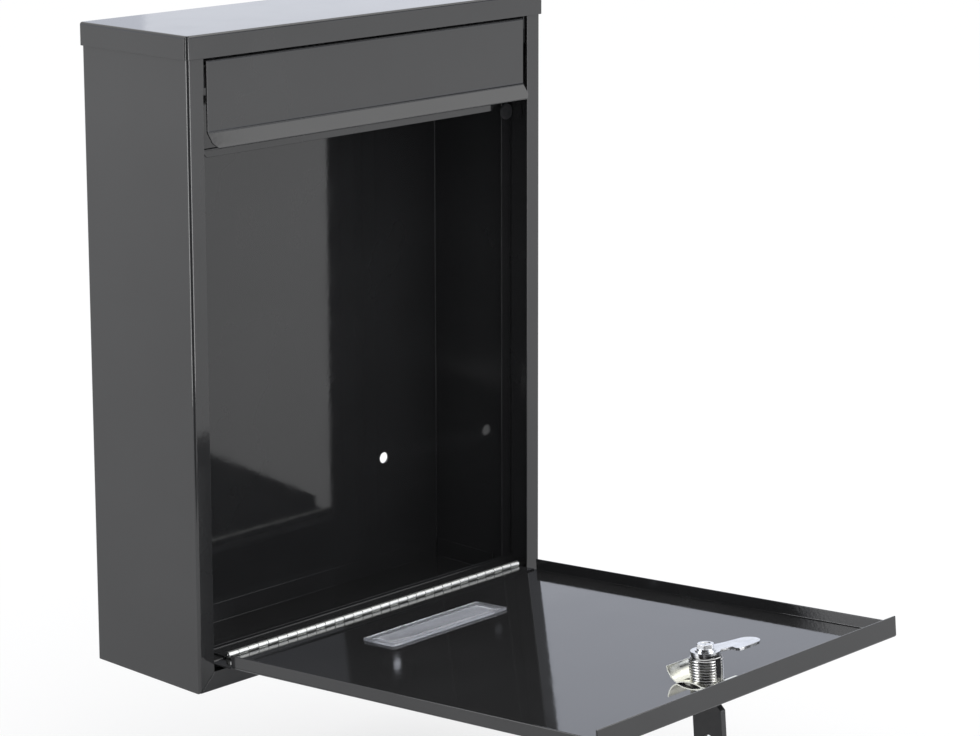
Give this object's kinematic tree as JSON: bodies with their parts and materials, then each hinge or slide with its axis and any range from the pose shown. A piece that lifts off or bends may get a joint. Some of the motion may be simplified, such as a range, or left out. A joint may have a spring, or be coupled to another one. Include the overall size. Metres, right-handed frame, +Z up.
{
  "type": "wall mounted mailbox",
  "caption": "Folded sheet steel letter box for a wall, with a slot flap over a drop-down door on a piano hinge, cam lock, keys and name window.",
  "frame": {"origin": "centre of the four wall holes, on the back face that lies on the wall", "axes": "+X to the right seen from the front, +Y into the wall, +Z up"},
  "size_m": [0.2634, 0.3542, 0.4173],
  "materials": {
    "body_paint": "gloss anthracite powder coat",
    "flap_paint": "gloss anthracite powder coat",
    "door_paint": "gloss anthracite powder coat",
    "buffer_rubber": "matt",
    "hinge_zinc": "bright zinc",
    "zinc_steel": "bright zinc",
    "lock_chrome": "chrome plated die casting",
    "yellow_zinc": "pale yellow zinc",
    "key_steel": "nickel plated",
    "key_plastic": "satin black",
    "clear_window": "clear, gloss",
    "card": "matt"
  },
  "bodies": {
    "body": {"body_wrap": "body_paint", "floor_panel": "body_paint", "cap": "body_paint", "hinge_rail": "body_paint", "catch_rail": "body_paint", "side_rail_left": "body_paint", "side_rail_right": "body_paint", "buffers": "buffer_rubber", "flap_rod": "zinc_steel", "flap_bracket_left": "body_paint", "flap_bracket_right": "body_paint", "hinge_body_leaf": "hinge_zinc"},
    "door": {"door_panel": "door_paint", "hinge_door_leaf": "hinge_zinc", "hinge_pin": "hinge_zinc", "nameplate_holder": "clear_window", "name_card": "card", "lock_barrel": "lock_chrome", "lock_clip": "yellow_zinc"},
    "flap": {"flap": "flap_paint"},
    "lock_core": {"lock_plug": "lock_chrome", "cam_arm": "zinc_steel", "cam_washer": "zinc_steel", "cam_screw": "zinc_steel"},
    "key": {"key_blade": "key_steel", "key_bow": "key_plastic"},
    "key_ring": {"key_ring": "key_steel"},
    "spare_key": {"spare_key_blade": "key_steel", "spare_key_bow": "key_plastic"}
  },
  "joints": [
    {"name": "door_hinge", "type": "hinge", "parent": "body", "child": "door", "pos_m": [0, -0.0812, -0.15947], "axis": [-1, 0, 0], "range_deg": [0, 85.27]},
    {"name": "flap_hinge", "type": "hinge", "parent": "body", "child": "flap", "pos_m": [0, -0.08, 0.15897], "axis": [-1, 0, 0], "range_deg": [0, 55]},
    {"name": "lock_turn", "type": "hinge", "parent": "door", "child": "lock_core", "pos_m": [0, -0.32296, -0.13947], "axis": [0, -0.0825, -0.9966], "range_deg": [-18, 72]},
    {"name": "key_slide", "type": "slide", "parent": "lock_core", "child": "key", "axis": [0, -0.0825, -0.9966], "range_m": [0, 0.028]},
    {"name": "ring_swing", "type": "hinge", "parent": "key", "child": "key_ring", "pos_m": [0, -0.32571, -0.1727], "axis": [-1, 0, 0], "range_deg": [-88, 30]},
    {"name": "spare_swing", "type": "hinge", "parent": "key_ring", "child": "spare_key", "pos_m": [0, -0.32571, -0.2005], "axis": [-1, 0, 0], "range_deg": [-30, 30]}
  ]
}
